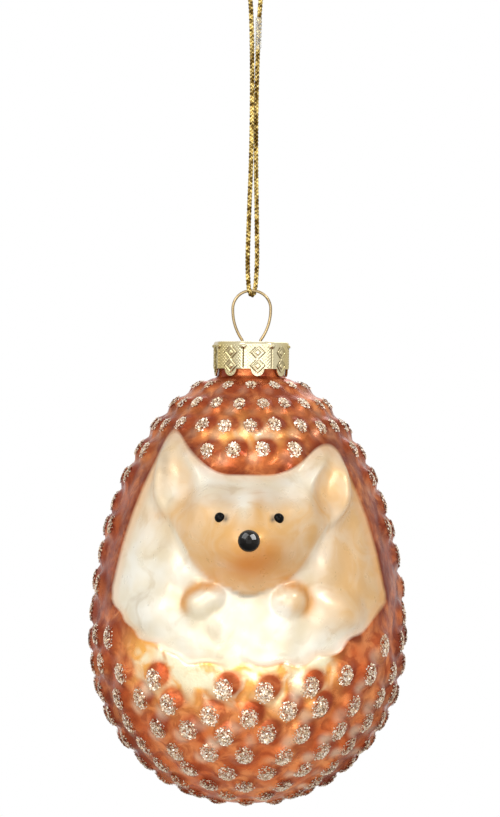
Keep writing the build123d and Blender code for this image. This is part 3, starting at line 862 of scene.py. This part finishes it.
cord_diameter = 0.85
bight_z = -65.65
cord_step = 0.11
loop_top = [(1.2, 0.0, cord_diameter / 2), (2.9, 0.0, -1.3), (2.95, 0.0, -3.9)]
loop_upper = loop_top + [(1.7, 0.0, -7.2), (0.7, 0.06, -10.5)]
loop_lower = [(0.28, 0.48, -34.7), (0.9, 0.8, -57.0), (0.85, 0.9, -61.4), (0.5, 0.9, bight_z)]
right_half = loop_upper + loop_lower
left_half = [(-x, -y, z) for x, y, z in reversed(right_half)]
bight = (0.0, 0.0, bight_z)
cord_route = [bight] + left_half + right_half + [bight]
route_curve = bpy.data.curves.new("cord_route", "CURVE")
route_curve.dimensions = "3D"
route_curve.resolution_u = 24
route_spline = route_curve.splines.new("NURBS")
route_spline.points.add(len(cord_route) - 1)
route_points = np.column_stack([np.array(cord_route) * MM, np.ones(len(cord_route))])
route_spline.points.foreach_set("co", route_points.ravel())
route_spline.order_u = 3
route_spline.use_endpoint_u = True
route_object = bpy.data.objects.new("cord_route", route_curve)
route_mesh = bpy.data.meshes.new_from_object(route_object)
route_line = np.zeros(3 * len(route_mesh.vertices))
route_mesh.vertices.foreach_get("co", route_line)
route_line = route_line.reshape(-1, 3) / MM
bpy.data.objects.remove(route_object)
steps = np.linalg.norm(np.diff(route_line, axis=0), axis=1)
route_line = route_line[np.concatenate([[True], steps > 1e-6])]
travelled = np.concatenate([[0], np.cumsum(np.linalg.norm(np.diff(route_line, axis=0), axis=1))])
cord_length = travelled[-1]
along = np.linspace(0, cord_length, round(cord_length / cord_step))
centre_line = np.stack([np.interp(along, travelled, route_line[:, axis]) for axis in range(3)], axis=1)


def line_frame(line):
    """Two directions square to a line at each of its points, the first as near to Y as it can be."""
    tangent = np.gradient(line, axis=0)
    tangent /= np.linalg.norm(tangent, axis=1, keepdims=True)
    first = np.array([0.0, 1.0, 0.0]) - tangent * tangent[:, 1:2]
    first /= np.linalg.norm(first, axis=1, keepdims=True)
    return first, np.cross(tangent, first)


def tube(line, radius, sides):
    """Round tube along a line: a ring of points at each step of it, with open ends."""
    first, second = line_frame(line)
    turn = np.linspace(0, 2 * math.pi, sides, endpoint=False)
    ring_points = first[:, None] * np.cos(turn)[None, :, None] + second[:, None] * np.sin(turn)[None, :, None]
    return line[:, None] + radius * ring_points


cord_first, cord_second = line_frame(centre_line)
plait_points, plait_faces = [], []
plait_length, plait_wide, plait_deep = 2.1, 0.28, 0.13
strand_count, strand_radius, strand_sides = 3, 0.185, 7
strand_faces = np.array(grid_faces(len(along), strand_sides))
for strand in range(strand_count):
    phase = 2 * math.pi * (along / plait_length + strand / strand_count)
    wide = plait_wide * np.sin(phase)
    deep = plait_deep * np.sin(2 * phase)
    strand_line = centre_line + cord_second * wide[:, None] + cord_first * deep[:, None]
    plait_faces += (strand_faces + strand * len(along) * strand_sides).tolist()
    plait_points.append(tube(strand_line, strand_radius, strand_sides).reshape(-1, 3))
cord = add_mesh("braided_cord", np.concatenate(plait_points), plait_faces, "cord", "hanging_cord")
yarn = Shading("gold_metallic_yarn", Metallic=0.9, Roughness=0.32)
dark_yarn, bright_yarn = (0.14, 0.075, 0.008), (0.82, 0.64, 0.24)
yarn.colour(yarn.mix(yarn.ramp(yarn.noise(1100.0), 0.42, 0.64), dark_yarn, bright_yarn))
yarn.cover(cord)

# Splice sleeve
# A short length of clear heat-shrink tube. It is slipped over the cord's two ends and shrunk, so that they
# stay side by side on the right strand.

clear = Shading("clear_shrunk_tube", Roughness=0.12, IOR=1.45, Transmission_Weight=0.9)
clear.colour(clear.mix(clear.noise(800.0), (0.90, 0.90, 0.86), (0.98, 0.98, 0.95)))
clear.cover(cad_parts["cord_sleeve"])

# Studio
# A pale floor well below the hanging ornament, a white backdrop, soft lamps and a long lens level with the
# glass. Two catch lamps shine on the nose alone, for the windows that its gloss mirrors.

scene = bpy.context.scene
scene.view_settings.view_transform = "Standard"
floor_mesh = bpy.data.meshes.new("floor")
floor_half, floor_z = 0.6, -0.34
floor_corners = [(-floor_half, -floor_half, floor_z), (floor_half, -floor_half, floor_z)]
floor_corners += [(floor_half, floor_half, floor_z), (-floor_half, floor_half, floor_z)]
floor_mesh.from_pydata(floor_corners, [], [(0, 1, 2, 3)])
floor = bpy.data.objects.new("floor", floor_mesh)
scene.collection.objects.link(floor)
pale = Shading("pale_floor", Roughness=0.8)
pale.colour(pale.mix(pale.noise(6.0), (0.80, 0.80, 0.79), (0.84, 0.84, 0.83)))
pale.cover(floor)

backdrop_light = 0.26
world = bpy.data.worlds.new("white_studio")
scene.world = world
world.use_nodes = True
sky = world.node_tree
sky.nodes.clear()
light_path = sky.nodes.new("ShaderNodeLightPath")
seen = sky.nodes.new("ShaderNodeMath")
seen.operation = "MAXIMUM"
sky.links.new(light_path.outputs["Is Camera Ray"], seen.inputs[0])
mirrored = sky.nodes.new("ShaderNodeMath")
mirrored.operation = "MAXIMUM"
sky.links.new(light_path.outputs["Is Glossy Ray"], mirrored.inputs[0])
sky.links.new(light_path.outputs["Is Transmission Ray"], mirrored.inputs[1])
sky.links.new(mirrored.outputs[0], seen.inputs[1])
strength = sky.nodes.new("ShaderNodeMapRange")
strength.inputs["To Min"].default_value = backdrop_light
sky.links.new(seen.outputs[0], strength.inputs["Value"])
backdrop = sky.nodes.new("ShaderNodeBackground")
backdrop.inputs["Color"].default_value = (1, 1, 1, 1)
sky.links.new(strength.outputs["Result"], backdrop.inputs["Strength"])
sky_output = sky.nodes.new("ShaderNodeOutputWorld")
sky.links.new(backdrop.outputs["Background"], sky_output.inputs["Surface"])


def lamp(name, place, aim, size, power):
    """Square soft lamp at a place, turned towards another."""
    data = bpy.data.lights.new(name, "AREA")
    data.size = size
    data.energy = power
    made = bpy.data.objects.new(name, data)
    scene.collection.objects.link(made)
    made.location = place
    away = np.subtract(place, aim)
    tilt = math.atan2(math.hypot(away[0], away[1]), away[2])
    made.rotation_euler = (tilt, 0, math.atan2(away[0], -away[1]))
    return made


middle = (0.0, 0.0, -0.12)
lamp("key_lamp", (-0.35, -0.55, 0.20), middle, 0.45, 2.3)
lamp("fill_lamp", (0.45, -0.45, 0.35), middle, 0.16, 1.4)
lamp("low_lamp", (0.0, -0.6, -0.26), middle, 0.6, 2.2)
lamp("rim_lamp", (0.1, 0.5, 0.3), middle, 0.4, 0.9)
nose_only = bpy.data.collections.new("nose_only")
nose_only.objects.link(nose)
nose_place = np.array(nose_centre) * MM
catch_distance = 0.5
for name, towards, size, power in (
    ("right_catch_lamp", (0.65, -0.42, 0.63), 0.46, 36.0),
    ("left_catch_lamp", (-0.58, -0.30, 0.76), 0.50, 13.0),
):
    catch_lamp = lamp(name, nose_place + catch_distance * np.array(towards), nose_place, size, power)
    catch_lamp.light_linking.receiver_collection = nose_only
    catch_lamp.visible_camera = False

camera_data = bpy.data.cameras.new("camera")
camera_distance = 0.8
camera_aside, camera_z, camera_roll = -0.0001, -0.0869, math.radians(-0.7)
frame_height = 0.1532
camera_data.lens = camera_data.sensor_width * camera_distance / frame_height
camera = bpy.data.objects.new("camera", camera_data)
scene.collection.objects.link(camera)
camera.location = (camera_aside, -camera_distance, camera_z)
camera.rotation_euler = (math.pi / 2, camera_roll, 0)
scene.camera = camera
